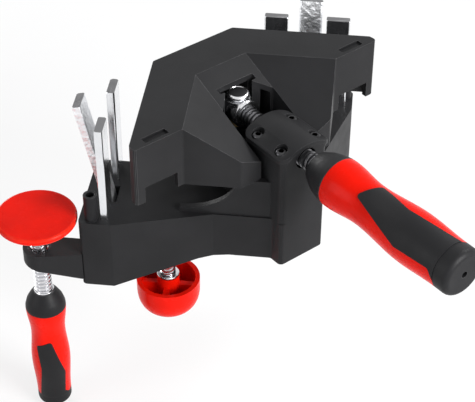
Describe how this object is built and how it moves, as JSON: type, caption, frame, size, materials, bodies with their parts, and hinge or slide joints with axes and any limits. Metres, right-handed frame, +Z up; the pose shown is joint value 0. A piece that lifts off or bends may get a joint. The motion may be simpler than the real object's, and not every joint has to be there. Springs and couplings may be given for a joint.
{
  "type": "corner clamp",
  "caption": "Corner clamp that holds boards square: screw-fed right-angle jaw over a moulded body, upright stop bars, a support screw with pad, and a hand knob below.",
  "frame": {"origin": "inside corner of the two boards, on the board seat: the clamping faces lie in x = 0 and y = 0, the seat in z = 0", "axes": "+Z up; the left clamping face looks along -X, the right one along +Y; the main screw runs along (1, -1, 0)"},
  "size_m": [0.2924, 0.2433, 0.2306],
  "materials": {
    "body_plastic": "charcoal moulded plastic with a fine grain",
    "black_grip": "soft black plastic",
    "red_plastic": "smooth red plastic",
    "bar_chrome": "bright plated steel",
    "spindle_steel": "rolled steel",
    "black_steel": "blackened steel",
    "insert_brass": "turned brass"
  },
  "bodies": {
    "frame": {"base_frame": "body_plastic", "nut_cap": "body_plastic", "cap_screws": "black_steel", "spindle_nut": "insert_brass", "front_bar_left": "bar_chrome", "rear_bar_left": "bar_chrome", "front_bar_right": "bar_chrome", "rear_bar_right": "bar_chrome", "bar_pin_left": "spindle_steel", "bar_pin_right": "spindle_steel", "post_left": "black_grip", "post_right": "black_grip", "lug_bush": "insert_brass", "knob_bush": "insert_brass"},
    "swivel": {"swivel_eye": "bar_chrome", "swivel_pin": "bar_chrome", "swivel_washer": "bar_chrome", "pin_clip": "spindle_steel"},
    "jaw": {"jaw_hood": "body_plastic", "jaw_bush": "insert_brass"},
    "main_screw": {"main_spindle": "black_steel", "main_collar": "black_grip", "main_handle": "red_plastic", "main_grips": "black_grip", "main_end_cap": "black_grip"},
    "tilt_left": {"tilt_bar_left": "bar_chrome"},
    "tilt_right": {"tilt_bar_right": "bar_chrome"},
    "pad": {"pressure_pad": "red_plastic", "pad_ring": "spindle_steel"},
    "pad_screw": {"pad_spindle": "spindle_steel", "pad_collar": "black_grip", "pad_handle": "red_plastic", "pad_grips": "black_grip", "pad_end_cap": "black_grip"},
    "knob_seat": {"knob_washer": "spindle_steel"},
    "knob": {"lock_knob": "red_plastic", "knob_stud": "spindle_steel"}
  },
  "joints": [
    {"name": "jaw_feed", "type": "slide", "parent": "frame", "child": "swivel", "axis": [-0.7071, 0.7071, 0], "range_m": [-0.016, 0.003]},
    {"name": "jaw_float", "type": "hinge", "parent": "swivel", "child": "jaw", "pos_m": [0.05445, -0.05445, 0.031], "axis": [0, 0, 1], "range_deg": [-2, 2]},
    {"name": "main_turn", "type": "hinge", "parent": "swivel", "child": "main_screw", "pos_m": [0.06152, -0.06152, 0.045], "axis": [-0.7071, 0.7071, 0], "range_deg": [-1921, 361]},
    {"name": "tilt_left_swing", "type": "hinge", "parent": "frame", "child": "tilt_left", "pos_m": [-0.0209, -0.0929, -0.008], "axis": [0, 1, 0], "range_deg": [0, 12]},
    {"name": "tilt_right_swing", "type": "hinge", "parent": "frame", "child": "tilt_right", "pos_m": [0.0929, 0.0209, -0.008], "axis": [1, 0, 0], "range_deg": [0, 12]},
    {"name": "pad_lift", "type": "slide", "parent": "frame", "child": "pad", "axis": [0, 0, 1], "range_m": [-0.009, 0.0127]},
    {"name": "pad_turn", "type": "hinge", "parent": "pad", "child": "pad_screw", "pos_m": [-0.0635, -0.119, -0.009], "axis": [0, 0, 1], "range_deg": [-1081, 1525]},
    {"name": "knob_lift", "type": "slide", "parent": "frame", "child": "knob_seat", "axis": [0, 0, 1], "range_m": [0, 0.02]},
    {"name": "knob_turn", "type": "hinge", "parent": "knob_seat", "child": "knob", "pos_m": [0.012, -0.0855, -0.071], "axis": [0, 0, 1], "range_deg": [0, 2401]}
  ],
  "couplings": [
    {"joint": "main_turn", "follows": "jaw_feed", "rad_per_m": 2094.4},
    {"joint": "pad_turn", "follows": "pad_lift", "rad_per_m": 2094.4},
    {"joint": "knob_turn", "follows": "knob_lift", "rad_per_m": 2094.4}
  ]
}
